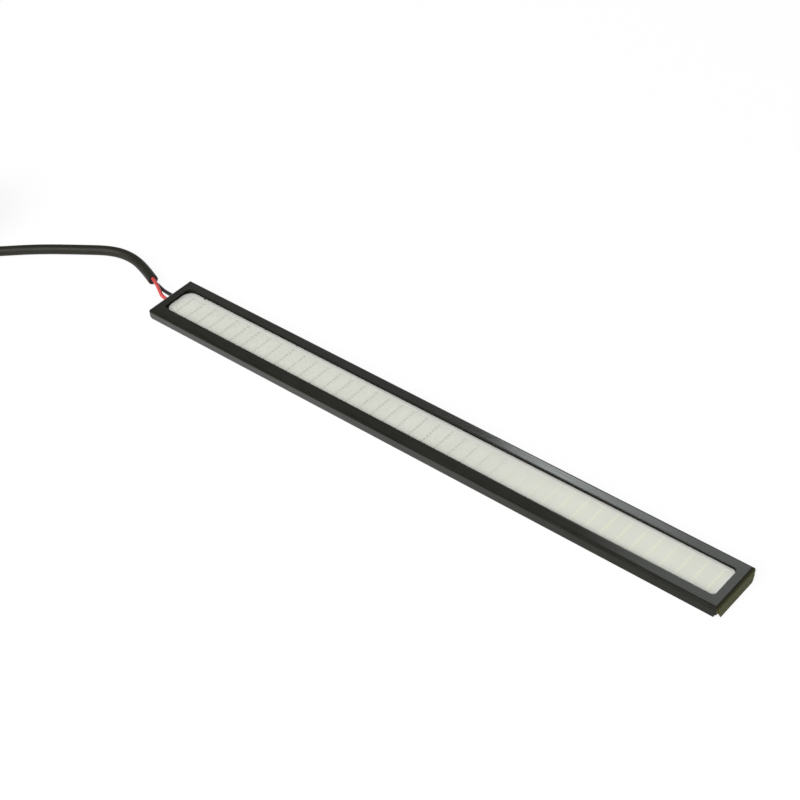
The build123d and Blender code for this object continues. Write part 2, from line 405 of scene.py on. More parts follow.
ANODISED = SheetFinish("black_anodised_sheet", (0.012, 0.012, 0.0085), (0.016, 0.016, 0.012), (0.11, 0.18),
                       grain=Grain.BRUSHED, relief=0.003 * MM)
SILICONE = CoverFinish("milky_silicone", (0.925, 0.935, 0.86), (0.895, 0.91, 0.825), (0.28, 0.36),
                       grain=Grain.COARSE, relief=0.002 * MM, specular=0.36, alpha=0.51)
SOLDER_MASK = BoardFinish("white_solder_mask", (0.88, 0.88, 0.82), (0.85, 0.86, 0.79), (0.35, 0.45))
DIE = RowFinish("tan_die", (0.25, 0.205, 0.085), (0.20, 0.16, 0.07), (0.35, 0.5), grain=Grain.COARSE)
BOND = RowFinish("bond_wire", (0.70, 0.63, 0.44), (0.62, 0.55, 0.38), (0.4, 0.5))
CERAMIC = Finish("resistor_ceramic", (0.02, 0.02, 0.02), (0.04, 0.04, 0.04), (0.5, 0.6), relief=0.003 * MM)
TINNED = Finish("tinned_copper", (0.62, 0.61, 0.58), (0.50, 0.48, 0.44), (0.28, 0.42),
                relief=0.004 * MM, metallic=1.0)
SEALANT = Finish("black_sealant", (0.010, 0.010, 0.013), (0.018, 0.017, 0.022), (0.25, 0.4),
                 grain=Grain.COARSE, relief=0.01 * MM)
FOAM = Finish("foam_tape", (0.22, 0.22, 0.21), (0.15, 0.15, 0.15), (0.8, 0.95), relief=0.03 * MM)
LINER = Finish("liner_film", (0.52, 0.035, 0.028), (0.46, 0.028, 0.024), (0.30, 0.42),
               grain=Grain.COARSE, relief=0.003 * MM)
RED_SKIN = Finish("red_insulation", (0.62, 0.075, 0.07), (0.54, 0.055, 0.055), (0.35, 0.5), relief=0.004 * MM)
BLACK_SKIN = Finish("black_insulation", (0.012, 0.012, 0.012), (0.02, 0.02, 0.02), (0.35, 0.5),
                    relief=0.004 * MM, specular=0.3)
SHEATH = Finish("soft_black_sheath", (0.014, 0.013, 0.008), (0.019, 0.018, 0.012), (0.42, 0.55),
                relief=0.006 * MM, specular=0.22)
NYLON = Finish("tie_nylon", (0.015, 0.015, 0.016), (0.024, 0.024, 0.025), (0.3, 0.45), relief=0.004 * MM)
SKIN = {Core.RED: RED_SKIN, Core.BLACK: BLACK_SKIN}


def grid_faces(rows: int, columns: int, round_rows: bool, round_columns: bool) -> Array:
    """Quads between the neighbours of a grid of points.

    Args:
        rows: Number of rows in the grid.
        columns: Number of points in a row.
        round_rows: Whether the last row joins the first.
        round_columns: Whether the last point of a row joins its first.

    Returns:
        One line of four point numbers for each quad.
    """
    row = np.arange(rows if round_rows else rows - 1)[:, None]
    column = np.arange(columns if round_columns else columns - 1)[None, :]
    next_row, next_column = (row + 1) % rows, (column + 1) % columns
    corners = (row * columns + column, row * columns + next_column,
               next_row * columns + next_column, next_row * columns + column)
    return np.stack(np.broadcast_arrays(*corners), axis=-1).reshape(-1, 4)


def rework(mesh: bpy.types.Mesh, merge: float = 0.0) -> None:
    """Turns a mesh's faces outwards, after merging the points that lie in one place.

    Args:
        mesh: The mesh, which is changed.
        merge: How close two points are that become one, or nought where none do.
    """
    work = bmesh.new()
    work.from_mesh(mesh)
    if merge:
        bmesh.ops.remove_doubles(work, verts=work.verts, dist=merge)
    bmesh.ops.recalc_face_normals(work, faces=work.faces)
    work.to_mesh(mesh)
    work.free()


def add_object(name: str, points: Array, faces: Sequence[Sequence[int]]) -> Piece:
    """Puts points and faces into a new smooth mesh at the origin, with its creases kept sharp.

    Args:
        name: The object's name.
        points: Points in metres, in an array whose last axis has three values.
        faces: Point numbers of each face.

    Returns:
        The new object.
    """
    mesh = bpy.data.meshes.new(name)
    mesh.from_pydata(points.reshape(-1, 3).tolist(), [], faces)
    rework(mesh)
    mesh.polygons.foreach_set("use_smooth", np.ones(len(mesh.polygons), bool))
    mesh.set_sharp_from_angle(angle=CREASE)
    made = bpy.data.objects.new(name, mesh)
    bpy.context.scene.collection.objects.link(made)
    return made


def add_values(obj: Piece, name: str, values: Array) -> None:
    """Gives each point of an object's mesh a number that its finish can read."""
    layer = obj.data.attributes.new(name, "FLOAT", "POINT")
    layer.data.foreach_set("value", values.astype(np.float32).ravel())


def tube_points(path: Array, radius: float, sides: int) -> Array:
    """Rings of points round one or more paths, none of which runs along one fixed slanting direction.

    Each ring is the circle of that radius in the plane across the path's own direction. Its first axis is the
    part of the fixed direction that is square to the path, and its second is square to both.

    Args:
        path: Points along each path, in an array that ends in (points, 3).
        radius: The tube's radius.
        sides: Points in a ring.

    Returns:
        An array that ends in (points, sides, 3).
    """
    ahead = np.gradient(path, axis=-2)
    ahead /= np.linalg.norm(ahead, axis=-1, keepdims=True)
    slanting = np.array([0.37, 0.21, 0.90])
    first = slanting - (ahead @ slanting)[..., None] * ahead
    first /= np.linalg.norm(first, axis=-1, keepdims=True)
    second = np.cross(ahead, first)
    angle = np.arange(sides) * 2 * pi / sides
    around = np.cos(angle)[:, None] * first[..., None, :] + np.sin(angle)[:, None] * second[..., None, :]
    return path[..., None, :] + radius * around


def tube_object(name: str, paths: Array, radius: float, sides: int) -> Piece:
    """One object of many like tubes with closed ends.

    Args:
        name: The object's name.
        paths: An array (tubes, points, 3) of centre lines.
        radius: The tubes' radius.
        sides: Points in a ring.

    Returns:
        The new object.
    """
    tubes, rings = paths.shape[:2]
    wall = grid_faces(rings, sides, False, True)
    caps = np.stack([np.arange(sides), (rings - 1) * sides + np.arange(sides)])
    start = (np.arange(tubes) * rings * sides)[:, None, None]
    walls = (wall[None] + start).reshape(-1, 4).tolist()
    ends = (caps[None] + start).reshape(-1, sides).tolist()
    return add_object(name, tube_points(paths, radius, sides), walls + ends)


def spline(name: str, points: Sequence[Triple] | Array, diameter: float) -> Piece:
    """A round cord on one smooth line that has the given points as its control points.

    Args:
        name: The cord's name.
        points: Control points in metres.
        diameter: The cord's diameter.

    Returns:
        A curve object.
    """
    curve = bpy.data.curves.new(name, "CURVE")
    curve.dimensions = "3D"
    curve.resolution_u = 8
    curve.bevel_depth = diameter / 2
    curve.bevel_resolution = 6
    curve.use_fill_caps = True
    line = curve.splines.new("NURBS")
    line.points.add(len(points) - 1)
    line.points.foreach_set("co", np.column_stack([np.array(points), np.ones(len(points))]).ravel())
    line.order_u = 3
    line.use_endpoint_u = True
    made = bpy.data.objects.new(name, curve)
    bpy.context.scene.collection.objects.link(made)
    return made


def soften(values: Array, power: float) -> Array:
    """Raises the size of each value to a power and keeps its sign."""
    return np.sign(values) * np.abs(values) ** power


def place(obj: Piece, finish: Finish, slot: str, *nodes: str) -> Piece:
    """Gives a new piece its finish, lets it ride on the lamp and hides the nodes that it stands for.

    Args:
        obj: The piece.
        finish: Its finish.
        slot: The material slot's name, which is not used.
        nodes: The nodes that it replaces.

    Returns:
        The piece.
    """
    obj.data.materials.append(finish.material())
    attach(obj, BODY)
    if nodes:
        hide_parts(*nodes)
    LOG.info("%s: %s", obj.name, finish.name)
    return obj


def dress(finishes: dict[str, Finish]) -> None:
    """Gives nodes that keep their solid shape a finish.

    Args:
        finishes: The finish of each node, by the node's name.
    """
    for node, finish in finishes.items():
        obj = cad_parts[node]
        obj.data.materials.clear()
        obj.data.materials.append(finish.material())
        LOG.info("%s keeps its shape: %s", node, finish.name)


@dataclass
class Bezel:
    """The folded frame: a face with its window, four bends, walls with rounded feet, and corner seams.

    It is one section carried round the lamp. A point of the section has an inset from the outer edge and a
    height. The round that it makes is a rectangle with round corners, smaller by the inset.
    """

    box: Box = field(default_factory=lambda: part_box("bezel"))
    sheet: float = 0.6 * MM
    bend: float = 0.75 * MM
    inner_bend: float = 0.15 * MM
    side_rim: float = 2.9 * MM
    end_rim: float = 2.6 * MM
    window_corner: float = 1.0 * MM
    outer_corner: float = 0.10 * MM
    edge_round: float = 0.06 * MM
    fall: float = 0.115 * MM
    flap_lean: float = 0.5 * MM
    seam: float = 0.12 * MM
    seam_depth: float = 0.45 * MM
    seam_edge: float = 0.002 * MM
    seam_top: float = 0.01 * MM
    foot: float = 0.6 * MM
    open_foot: float = 1.4 * MM
    relief_foot: float = 0.25 * MM
    relief: float = 1.2 * MM
    relief_reach: float = 0.72 * MM
    foot_curve: float = 1.5
    relief_curve: float = 0.5
    foot_zone: float = 2.6 * MM
    lead_spread: float = 2.0 * MM
    lead_height: float = 1.87 * MM
    hole_radius: float = 0.555 * MM

    # Points on a small edge, a bend, the face, a wall, its inside and a corner, and along half a side
    edge_points: int = 4
    bend_points: int = 11
    face_points: int = 9
    wall_points: int = 13
    inside_points: int = 5
    corner_points: int = 5
    foot_points: int = 17
    side_points: int = 25
    hole_sides: int = 32

    # How worn, olive-toned and dull the sheet is, from 0 to 1, and where its dullness starts and ends
    window_wear: float = 0.1
    foot_wear: float = 0.9
    flap_olive_tone: float = 0.9
    flap_dull: float = 0.92
    wall_dull: float = 0.85
    dull_middle: float = 0.45
    dull_slope: float = 0.75
    dull_start: float = 6.0
    far_dull_from: float = 0.8
    bend_fade: float = 0.45 * MM
    bend_shine: float = 0.5 * MM

    @property
    def half_length(self) -> float:
        """Half the length of the face, from the wire end, whose flap is upright."""
        return -self.box[0].x

    @property
    def wall_top(self) -> float:
        """The height at which the bend ends and the wall starts."""
        return self.box[1].z - self.fall - self.bend

    @property
    def flap_half(self) -> float:
        """Half the width of an end flap, up to the seam beside it."""
        return self.box[1].y - self.sheet - self.seam

    def section(self) -> tuple[Array, Array, Array]:
        """The closed section, from the window's top edge outwards, down the wall and back under the rim.

        Straight stretches are even steps. Edges and bends are quarter circles. The face slopes down evenly
        from the window to the bend, by the fall in all.

        Returns:
            Insets, heights, and how worn each point is, from 0 to 1.
        """
        top, bottom = self.box[1].z, self.box[0].z
        rim, edge, bend, inner = self.side_rim, self.edge_round, self.bend, self.inner_bend
        under = top - self.sheet
        small = np.linspace(0, pi / 2, self.edge_points)
        large = np.linspace(0, pi / 2, self.bend_points)
        across = np.linspace(0, 1, self.face_points)[1:-1]
        wall = np.linspace(self.wall_top, bottom + edge, self.wall_points)[1:-1]
        inside = np.linspace(bottom + edge, under - inner, self.inside_points)[1:-1]
        below = np.linspace(self.sheet + inner, rim, self.inside_points)[1:]
        stretches = [
            (rim - edge + edge * np.cos(small), top - edge + edge * np.sin(small), self.window_wear),
            (rim - edge + (bend - rim + edge) * across, top - self.fall * across, 0.0),
            (bend - bend * np.sin(large), self.wall_top + bend * np.cos(large), 0.0),
            (np.zeros_like(wall), wall, 0.0),
            (edge - edge * np.cos(small), bottom + edge - edge * np.sin(small), self.foot_wear),
            (self.sheet - edge + edge * np.sin(small), bottom + edge - edge * np.cos(small), self.foot_wear),
            (np.full_like(inside, self.sheet), inside, 0.0),
            (self.sheet + inner - inner * np.cos(small), under - inner + inner * np.sin(small), 0.0),
            (below, np.full_like(below, under), 0.0),
        ]
        insets, heights = (np.concatenate([stretch[part] for stretch in stretches]) for part in (0, 1))
        wear = np.concatenate([np.full(len(stretch[0]), stretch[2]) for stretch in stretches])
        return insets, heights, wear

    def side_steps(self, half: float, extra: Sequence[float] = ()) -> Array:
        """Places along a side, from -1 to 1, which crowd towards its feet by a square.

        Args:
            half: Half the side's length.
            extra: More places, as distances from the side's middle.

        Returns:
            The places, the same on both halves.
        """
        crowd = half - self.foot_zone * np.linspace(0, 1, self.foot_points) ** 2
        middle = np.linspace(0, half - self.foot_zone, self.side_points)[:-1]
        places = np.unique(np.concatenate([crowd, middle, extra]))
        return np.concatenate([-places[:0:-1], places]) / half

    def round(self) -> tuple[Array, Array]:
        """The way round the lamp, from the near side on, as four sides with a corner after each.

        Returns:
            For each step, its place on a rectangle whose sides lie at -1 and 1, and the outward direction.
        """
        slit = self.flap_half + np.array([0.0, self.seam_edge, self.seam - self.seam_edge, self.seam])
        long_side = self.side_steps(self.half_length - self.outer_corner)
        end_side = self.side_steps(self.box[1].y - self.outer_corner, slit)
        turn = np.linspace(0, pi / 2, self.corner_points)[1:-1]
        corner = np.tile([1.0, -1.0], (len(turn), 1))
        turning = np.stack([np.sin(turn), -np.cos(turn)], axis=1)
        spin = np.eye(2)
        places, directions = [], []
        for side in (long_side, end_side, long_side, end_side):
            straight = np.stack([side, np.full_like(side, -1.0)], axis=1)
            facing = np.tile([0.0, -1.0], (len(side), 1))
            places += [straight @ spin, corner @ spin]
            directions += [facing @ spin, turning @ spin]
            spin = spin @ np.array([[0.0, 1.0], [-1.0, 0.0]])
        return np.concatenate(places), np.concatenate(directions)

    def feet(self, x: Array, y: Array, on_flap: Array) -> tuple[Array, Array]:
        """How far the foot of the wall lies above its lowest place, and where the seams are.

        Beside a seam the foot is rounded: at a distance d inside its size r it lies r times a power of
        one less d over r above the rest. The long wall's end at the plain end's near corner is cut back to
        the flap, steeply, up to the height of the relief.

        Args:
            x: Places along the lamp.
            y: Places across the lamp.
            on_flap: Which steps lie on an end and face straight along the lamp.

        Returns:
            The lift of each step, and which steps lie in a seam.
        """
        relieved = (x > 0) & (y < 0)
        size = np.where(x > 0, np.where(y > 0, self.open_foot, self.relief_foot), self.foot)
        to_seam = self.flap_half - np.abs(y)
        slack = self.seam_edge / 4
        past_flap = to_seam < -slack
        distance = np.where(on_flap, to_seam, self.half_length - np.abs(x))
        lift = size * np.clip(1 - distance / size, 0, 1) ** self.foot_curve
        cut_back = self.relief * np.clip(1 - distance / self.relief_reach, 0, 1) ** self.relief_curve
        lift = np.where(relieved & (~on_flap | past_flap), cut_back, lift)
        return lift, on_flap & past_flap & (to_seam >= slack - self.seam)

    def sheen(self, insets: Array, heights: Array, outer: Array, facing: Array) -> Array:
        """How much the sheet shines, from 0 to 1.

        The face shines. Walls get duller along X, from nought at the wire end. A bend's upper part is dull,
        and the dullness fades downwards, from a line that rises along X. The far wall's dullness starts lower
        down its bend, the plain flap has one of its own, and the window's edge is dull.

        Args:
            insets: Insets of the section's points.
            heights: Their heights.
            outer: Places of the steps round the lamp, on its outside.
            facing: Their outward directions.

        Returns:
            One line for each point of the section, with a value for each step.
        """
        along = outer[:, 0] / self.half_length
        to_plain_end = np.clip(self.dull_middle + self.dull_slope * along, 0, 1)[None, :]
        shine_end = self.wall_top + self.bend_shine * to_plain_end
        on_bend = np.clip((heights[:, None] - shine_end) / self.bend_fade + 1, 0, 1)
        wall = np.maximum(self.wall_dull * to_plain_end, on_bend)
        wall = np.where(self.plain_flap(outer, facing), self.flap_dull, wall)
        dull_from = np.where(facing[:, 1] > 0.5, self.far_dull_from, 0.0)[None, :]
        dulled = np.clip(self.dull_start * (self.upright(heights) - dull_from), 0, 1) * wall
        # The edge's round runs from nought at the window to minus one at the face
        on_edge = ((insets - self.side_rim) / self.edge_round)[:, None].round(2)
        at_window = np.where(on_edge == 0, 1.0, (on_edge > -1) * (1 - to_plain_end))
        return 1 - np.maximum(dulled, at_window)

    def upright(self, heights: Array) -> Array:
        """How far down the bend each height lies: nought on the face, and one on the wall."""
        return np.clip((self.wall_top + self.bend - heights) / self.bend, 0, 1)[:, None]

    def plain_flap(self, outer: Array, facing: Array) -> Array:
        """Which steps lie on the plain end, as one line."""
        return ((outer[:, 0] > 0) & (facing[:, 0] > 0.5))[None, :]

    def build(self) -> Piece:
        """Carries the section round the lamp, leans the plain flap outwards and cuts the two lead holes.

        Returns:
            The bezel.
        """
        insets, heights, wear = self.section()
        places, facing = self.round()
        rim_share = np.clip((insets - self.bend) / (self.side_rim - self.bend), 0, 1)[:, None]
        corner = self.outer_corner + (self.window_corner - self.outer_corner) * rim_share ** 2
        half = np.array([self.half_length, self.box[1].y])
        outer = places * (half - self.outer_corner) + facing * self.outer_corner
        lift, in_seam = self.feet(outer[:, 0], outer[:, 1], np.abs(facing[:, 0]) == 1)

        top, bottom = self.box[1].z, self.box[0].z
        low = np.clip((self.wall_top - heights) / (self.wall_top - bottom), 0, 1)
        height = heights[:, None] + low[:, None] * lift
        in_wall = (heights < self.wall_top - self.seam_top) & (insets < self.seam_depth)
        side_inset = np.broadcast_to(insets[:, None], height.shape)
        seam_inset = self.seam_depth * (in_wall[:, None] & in_seam)
        end_inset = np.maximum(side_inset - (self.side_rim - self.end_rim) * rim_share, seam_inset)
        x = places[:, 0] * (half[0] - end_inset - corner) + facing[:, 0] * corner
        y = places[:, 1] * (half[1] - side_inset - corner) + facing[:, 1] * corner
        on_plain_flap = self.plain_flap(outer, facing)
        leaning = on_plain_flap & (np.abs(outer[:, 1]) < self.flap_half + self.seam_edge / 2)
        x = x + self.flap_lean * leaning * (1 - rim_share) * (top - height) / (top - bottom)

        faces = grid_faces(len(insets), len(places), True, True).tolist()
        made = add_object("folded_bezel", np.stack([x, y, height], axis=-1), faces)
        add_values(made, "wear", np.broadcast_to(wear[:, None], height.shape))
        # The plain flap gets a pale olive tone: full on its wall, fading up its bend to nought on the face
        add_values(made, "olive_tone", self.flap_olive_tone * on_plain_flap * self.upright(heights))
        add_values(made, "sheen", self.sheen(insets, heights, outer, facing))
        self.cut_lead_holes(made)
        return place(made, ANODISED, "bezel_black", "bezel")

    def cut_lead_holes(self, obj: Piece) -> None:
        """Cuts the holes for the leads through the wire-end flap.

        Args:
            obj: The bezel, whose mesh is replaced by the cut one.
        """
        across = np.array([-0.5, 0.5]) * self.lead_spread
        reach = np.array([-2.0, 2.0]) * self.sheet - self.half_length
        paths = np.stack(np.broadcast_arrays(reach, across[:, None], self.lead_height), axis=-1)
        cutter = tube_object("lead_hole_cutter", paths, self.hole_radius, self.hole_sides)
        cut = obj.modifiers.new("lead_holes", "BOOLEAN")
        cut.object = cutter
        cut.solver = "EXACT"
        bpy.context.view_layer.update()
        shaped = bpy.data.meshes.new_from_object(obj.evaluated_get(bpy.context.evaluated_depsgraph_get()))
        obj.modifiers.clear()
        obj.data = shaped
        bpy.data.objects.remove(cutter)


@dataclass
class LightStrip:
    """Board, LED dies with their bond wires, the silicone over them and the sealant round it."""

    cover: Box = field(default_factory=lambda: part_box("encapsulant"))
    dies: Box = field(default_factory=lambda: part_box("led_dies"))
    rows: int = 42
    dies_per_row: int = 7
    die_width: float = 0.4 * MM
    die_length: float = 0.3 * MM
    shown_margin: float = 0.3 * MM
    meniscus: float = 0.04 * MM
    meniscus_reach: float = 0.35 * MM
    # How far the painted light along the brim reaches
    brim_light_reach: float = 0.7 * MM
    above_board: float = 0.02 * MM
    wire_radius: float = 0.03 * MM
    wire_rise: float = 0.16 * MM
    wire_points: int = 6
    wire_sides: int = 5

    # Steps crowd over a border by a power. Each grid has even steps, less some at each end
    border: float = 1.75 * MM
    border_points: int = 12
    border_power: float = 1.5
    grid_along: tuple[int, int] = (60, 2)
    grid_across: tuple[int, int] = (14, 5)

    def build(self) -> None:
        """Builds the silicone and the bond wires, and dresses the nodes that keep their shape."""
        place(self.silicone(), SILICONE, "silicone", "encapsulant")
        place(self.bond_wires(), BOND, "tinned")
        dress({"circuit_board": SOLDER_MASK, "led_dies": DIE, "chip_resistors": CERAMIC,
               "lead_conductors": TINNED, "solder_joints": TINNED, "edge_seal": SEALANT,
               "wire_potting": SEALANT})

    def steps(self, edge: float, grid: tuple[int, int]) -> Array:
        """Places from one edge of the silicone to the other, crowded where its top climbs.

        Args:
            edge: How far the edge lies from the middle.
            grid: How many even steps there are, and how many at each end give way to the crowded ones.

        Returns:
            The places, in order.
        """
        shown = edge - self.shown_margin
        count, left_out = grid
        even = np.linspace(-shown, shown, count)[left_out:-left_out]
        crowd = self.border * np.linspace(0, 1, self.border_points) ** self.border_power
        return np.concatenate([[-edge], crowd - shown, even, shown - crowd[::-1], [edge]])

    def silicone(self) -> Piece:
        """A slab whose top climbs a little where it meets the sealant.

        Over the part that shows, the top is the solid's top plus the meniscus times e to the minus distance
        over its reach, where the distance is to the nearest border. Outside that part it is flat. How much
        of the painted light along the brim shows, against the shade of the rim, falls in the same way, with a
        reach of its own.

        Returns:
            The slab, closed all round.
        """
        low, high = self.cover
        shown_x, shown_y = high.x - self.shown_margin, high.y - self.shown_margin
        along, across = self.steps(high.x, self.grid_along), self.steps(high.y, self.grid_across)
        x, y = np.meshgrid(along, across, indexing="ij")
        inside = np.minimum(shown_x - np.abs(x), shown_y - np.abs(y))
        within = np.clip(inside, 0, None)
        climb = np.where(inside >= 0, self.meniscus * np.exp(-within / self.meniscus_reach), 0.0)
        top = np.stack([x, y, high.z + climb], axis=-1)
        base = np.stack([x, y, np.full_like(x, low.z + self.above_board)], axis=-1)
        sheet = grid_faces(*x.shape, False, False)
        index = np.arange(x.size).reshape(x.shape)
        border = np.concatenate([index[:-1, 0], index[-1, :-1], index[:0:-1, -1], index[0, :0:-1]])
        after = np.roll(border, -1)
        skirt = np.stack([border, after, after + x.size, border + x.size], axis=1)
        faces = np.concatenate([sheet, sheet[:, ::-1] + x.size, skirt]).tolist()
        made = add_object("silicone_cover", np.stack([top, base]), faces)
        # Painted light along the brim, which offsets the shade that the rim and sealant cast on the silicone
        brim_light = np.exp(-within / self.brim_light_reach)
        add_values(made, "brim_light", np.stack([brim_light, brim_light]))
        return made

    def bond_wires(self) -> Piece:
        """Fine wires that join the dies of each row.

        Each wire is a parabola from one die's top to the next: its height above both is four times the rise
        times the share of the way gone times the share still to go.

        Returns:
            All the wires as one object.
        """
        low, high = self.dies
        row = np.linspace(low.x + self.die_length / 2, high.x - self.die_length / 2, self.rows)
        die = np.linspace(low.y + self.die_width / 2, high.y - self.die_width / 2, self.dies_per_row)
        share = np.linspace(0, 1, self.wire_points)
        start, end = die[:-1] + self.die_width / 4, die[1:] - self.die_width / 4
        y = start[:, None] + (end - start)[:, None] * share
        z = high.z + 4 * self.wire_rise * share * (1 - share)
        paths = np.stack(np.broadcast_arrays(row[:, None, None], y, z), axis=-1)
        lines = paths.reshape(-1, self.wire_points, 3)
        return tube_object("bond_wires", lines, self.wire_radius, self.wire_sides)


@dataclass
class Leads:
    """The red and the black lead between the cable's end and the lamp. Both of their ends are held."""

    diameter: float = 0.95 * MM
    routes: dict[Core, list[Triple]] = field(default_factory=lambda: {
        Core.RED: [(-0.0948, 0.0031, 0.00187), (-0.09266, 0.00225, 0.00187), (-0.0893, 0.0003, 0.00225),
                   (-0.0870, -0.0010, 0.00187), (-0.0840, -0.0010, 0.00187)],
        Core.BLACK: [(-0.0948, 0.0031, 0.00083), (-0.0925, 0.0025, 0.0013), (-0.0896, 0.0015, 0.0016),
                     (-0.0870, 0.0010, 0.00187), (-0.0840, 0.0010, 0.00187)],
    })

    def build(self) -> list[Piece]:
        """Builds both leads.

        Returns:
            The two leads.
        """
        made = []
        for core, route in self.routes.items():
            name = f"{core.value}_lead"
            lead = spline(f"{name}_wire", route, self.diameter)
            made.append(place(lead, SKIN[core], f"wire_{core.value}", name))
        return made


@dataclass
class Cable:
    """The sheathed cable: its free stretch, the coil, the tie and the two wires at its far end."""

    diameter: float = 2.7 * MM
    wire_diameter: float = 0.95 * MM
    length: float = 0.963
    tail_length: float = 0.032
    route: list[Triple] = field(default_factory=lambda: [
        (-0.0948, 0.0031, 0.00135), (-0.1006, 0.0054, 0.00135), (-0.1070, 0.00675, 0.00135),
        (-0.1133, 0.0057, 0.00135), (-0.1205, 0.0011, 0.00135), (-0.1305, -0.0056, 0.00135),
        (-0.1400, -0.0138, 0.00135), (-0.1456, -0.0180, 0.00135),
    ])
    coil_middle: Pair = (-0.16087, -0.01364)
    turn_radius: float = 9.9 * MM
    turn_pitch: float = 2.75 * MM
    entry_angle: float = -53.1
    exit_angle: float = 265.0
    exit_run: float = 11.0 * MM
    exit_lift: float = 0.1 * MM
    points_per_turn: int = 16
    move_share: float = 0.25
    # Column and layer of each turn in the wound bundle, counted from the inside and from the bottom
    winding: tuple[tuple[int, int], ...] = (
        (2, 0), (2, 1), (1, 1), (1, 0), (0, 0), (0, 1), (0, 2), (1, 2), (1, 3), (0, 3), (0, 4), (1, 4),
        (2, 4), (2, 3), (2, 2))

    tie_angle: float = 110.0
    tie_thickness: float = 0.8 * MM
    tie_width: float = 2.5 * MM
    tie_corner: float = 2.6 * MM
    tie_power: float = 0.35
    tie_points: tuple[int, int] = (96, 24)
    tie_reach: float = 45.0
    tie_slope: float = 1.5
    corner_slope: float = 4.0
    head_size: Triple = (3.2 * MM, 4.2 * MM, 3.4 * MM)
    head_height: float = 5.5 * MM
    head_power: float = 0.22
    head_points: tuple[int, int] = (40, 21)
    pole_merge: float = 0.001 * MM

    tails: dict[Core, list[Triple]] = field(default_factory=lambda: {
        Core.RED: [(-0.17297, -0.02580, 0.00145), (-0.17495, -0.02563, 0.000475),
                   (-0.1786, -0.0210, 0.000475), (-0.1796, -0.0095, 0.000475), (-0.1742, 0.0026, 0.000475)],
        Core.BLACK: [(-0.17288, -0.02476, 0.00145), (-0.17486, -0.02459, 0.000475),
                     (-0.1766, -0.0196, 0.000475), (-0.1776, -0.0096, 0.000475), (-0.1692, 0.0028, 0.000475)],
    })
    strand_diameter: float = 0.6 * MM
    strand_length: float = 5.0 * MM
    strand_turns: float = 1.2
    strand_points: int = 28
    strand_sides: int = 8
    outer_strands: int = 6

    def turns(self) -> Array:
        """Control points of the wound turns.

        The angle falls evenly from the entry to the exit. Over most of a turn the cable keeps its column and
        layer, and over the rest it moves to the next ones, by three times the square of the share gone less
        twice its cube. Near the tie the lower layers rise on to its strap.

        Returns:
            Points in metres, in the order in which the cable runs through them.
        """
        places = np.array(self.winding, float)
        last = len(places) - 1
        sweep = 360.0 * last + self.entry_angle % 360.0 - self.exit_angle
        gone = np.linspace(0.0, sweep, round(sweep / 360.0 * self.points_per_turn) + 1)
        turn = np.minimum((gone // 360.0).astype(int), last)
        move = np.clip((gone / 360.0 - turn - 1) / self.move_share + 1, 0, 1)
        move = (move * move * (3 - 2 * move))[:, None]
        column, layer = (places[turn] * (1 - move) + places[np.minimum(turn + 1, last)] * move).T
        # A smooth line of this order passes inside the corners of its control points by this share
        inside_corners = (6 + 2 * cos(radians(gone[1]))) / 8
        radius = (self.turn_radius + (column - 1) * self.turn_pitch) / inside_corners
        angle = np.radians(self.entry_angle - gone)
        from_tie = np.abs((self.entry_angle - gone - self.tie_angle + 180.0) % 360.0 - 180.0)
        near_tie = np.clip(self.tie_slope * np.cos(np.minimum(from_tie / self.tie_reach, 1) * pi / 2), 0, 1)
        rise = self.tie_thickness * (1 - layer / places[:, 1].max()) * near_tie
        height = self.diameter / 2 + layer * self.turn_pitch + rise
        return np.stack([self.coil_middle[0] + radius * np.cos(angle),
                         self.coil_middle[1] + radius * np.sin(angle), height], axis=1)

    def sheath(self) -> Piece:
        """The whole sheath as one cord: the route, the turns and a last run down to the floor.

        The run starts on the side of the coil that lies opposite the end of the turns, so the cord crosses
        the coil to reach it.

        Returns:
            The cord.
        """
        turns = self.turns()
        leaving = radians(self.exit_angle)
        outwards = np.array([cos(leaving), sin(leaving)])
        heading = np.array([sin(leaving), -cos(leaving)])
        start = np.array(self.coil_middle) - outwards * (self.turn_radius + self.turn_pitch)
        end = np.array([*(start + heading * self.exit_run), self.diameter / 2 + self.exit_lift])
        half_way = (np.array([*start, turns[-1, 2]]) + end) / 2
        return spline("cable", np.concatenate([self.route, turns, [half_way, end]]), self.diameter)

    def tie(self) -> Piece:
        """A flat strap carried round the section of the coil, and its head.

        The strap's path is a rectangle with round corners in a plane through the coil's axis. Its section is
        a flat oval as wide as the strap: a cosine and a sine, each raised to a small power. The head is a box
        with soft edges: each coordinate is the half size times cosines or sines raised to a small power.

        Returns:
            Strap and head as one object.
        """
        columns, layers = np.max(self.winding, axis=0)
        bundle = columns * self.turn_pitch + self.diameter
        height = layers * self.turn_pitch + self.diameter
        mid = self.tie_thickness / 2
        path_half = np.array([bundle / 2 + mid, (height - self.tie_thickness) / 2 + mid])
        angle, lap = (np.linspace(0, 2 * pi, count, endpoint=False) for count in self.tie_points)
        facing = np.stack([np.cos(angle), np.sin(angle)], axis=1)
        corners = np.clip(facing * self.corner_slope, -1, 1) * (path_half - self.tie_corner)
        path = corners + facing * self.tie_corner
        flat = soften(np.cos(lap), self.tie_power) * self.tie_width / 2
        thick = soften(np.sin(lap), self.tie_power) * mid
        radial = self.turn_radius + path[:, None, 0] + facing[:, None, 0] * thick
        upward = (height + self.tie_thickness) / 2 + path[:, None, 1] + facing[:, None, 1] * thick
        strap = np.stack([radial, np.broadcast_to(flat, radial.shape), upward], axis=-1)

        around, over = np.meshgrid(np.linspace(0, 2 * pi, self.head_points[0], endpoint=False),
                                   np.linspace(-pi / 2, pi / 2, self.head_points[1]))
        level = soften(np.cos(over), self.head_power)
        size = np.array(self.head_size) / 2
        head_radius = self.turn_radius - bundle / 2 - mid - size[0]
        head = np.stack([head_radius + size[0] * level * soften(np.cos(around), self.head_power),
                         size[1] * level * soften(np.sin(around), self.head_power),
                         self.head_height + size[2] * (1 + soften(np.sin(over), self.head_power))], axis=-1)

